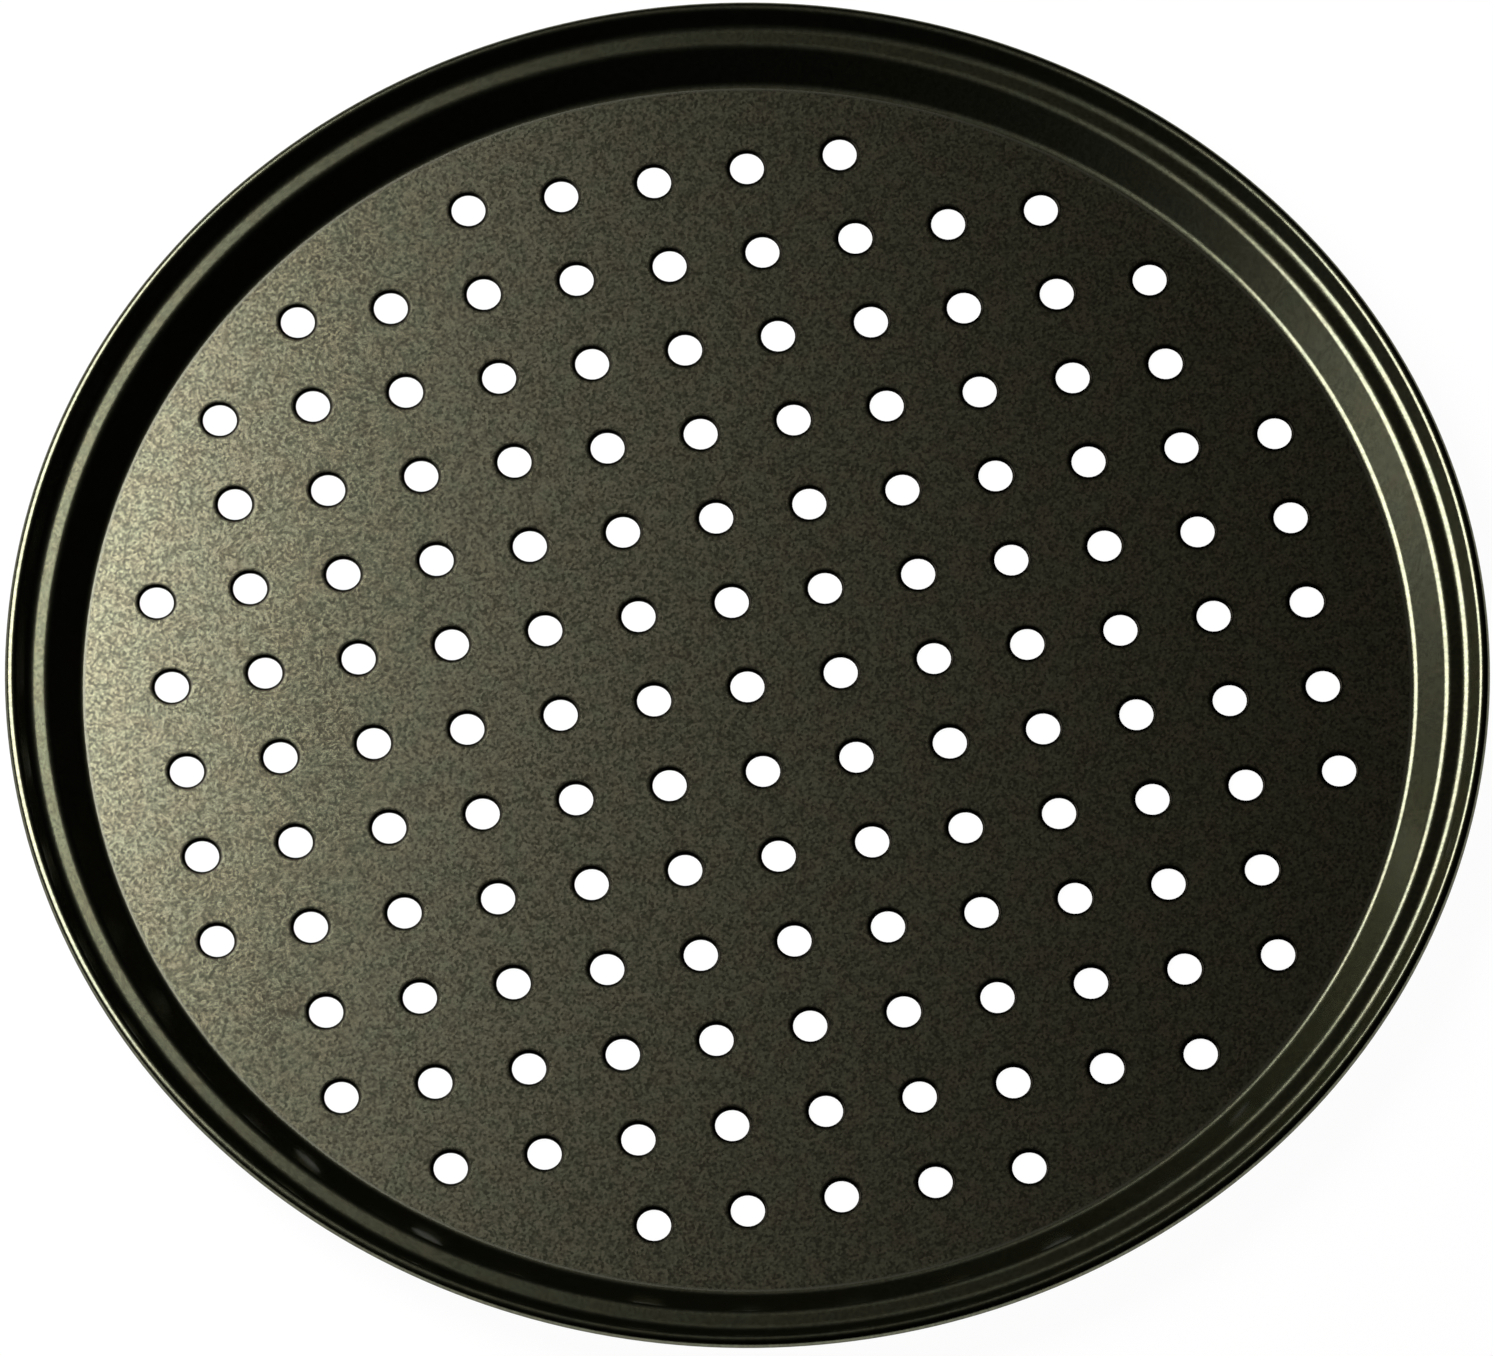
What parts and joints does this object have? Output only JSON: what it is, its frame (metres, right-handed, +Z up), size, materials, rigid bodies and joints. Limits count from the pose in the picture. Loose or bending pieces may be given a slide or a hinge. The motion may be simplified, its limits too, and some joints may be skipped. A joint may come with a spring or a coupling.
{
  "type": "perforated pizza pan",
  "caption": "Shallow round baking pan of dark coated sheet steel: flat floor punched with a square grid of vent holes, sloped wall, narrow ledge and a rolled edge.",
  "frame": {"origin": "middle of the floor's underside, on the surface that the pan stands on", "axes": "+Z up, out of the open side; the rows of vent holes run along X and Y"},
  "size_m": [0.32, 0.32, 0.01],
  "materials": {
    "coated_sheet": "satin dark non-stick coating with a fine speckle",
    "steel_wire": "drawn, uncoated"
  },
  "bodies": {
    "root": {"pan_body": "coated_sheet", "rim_wire": "steel_wire"}
  },
  "joints": []
}
